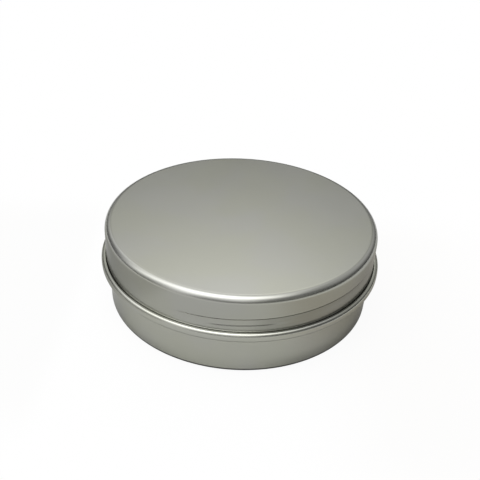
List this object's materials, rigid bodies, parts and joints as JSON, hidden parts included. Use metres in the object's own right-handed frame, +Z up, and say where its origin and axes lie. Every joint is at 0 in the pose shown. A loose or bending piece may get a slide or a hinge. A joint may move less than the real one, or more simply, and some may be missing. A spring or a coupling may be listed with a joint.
{
  "type": "screw-top can",
  "caption": "Shallow round screw-top tin of bare aluminium, shut, with a rolled rim around the base and a flat lid.",
  "frame": {"origin": "centre of the face the can stands on", "axes": "+Z up along the can's axis, from the foot to the lid; the lower end of the thread on the lid's skirt is 30 degrees from -Y towards -X"},
  "size_m": [0.068, 0.068, 0.0207],
  "materials": {
    "base_aluminium": "satin, bare",
    "lid_aluminium": "satin, bare"
  },
  "bodies": {
    "root": {"can_base": "base_aluminium", "lid": "lid_aluminium"}
  },
  "joints": []
}
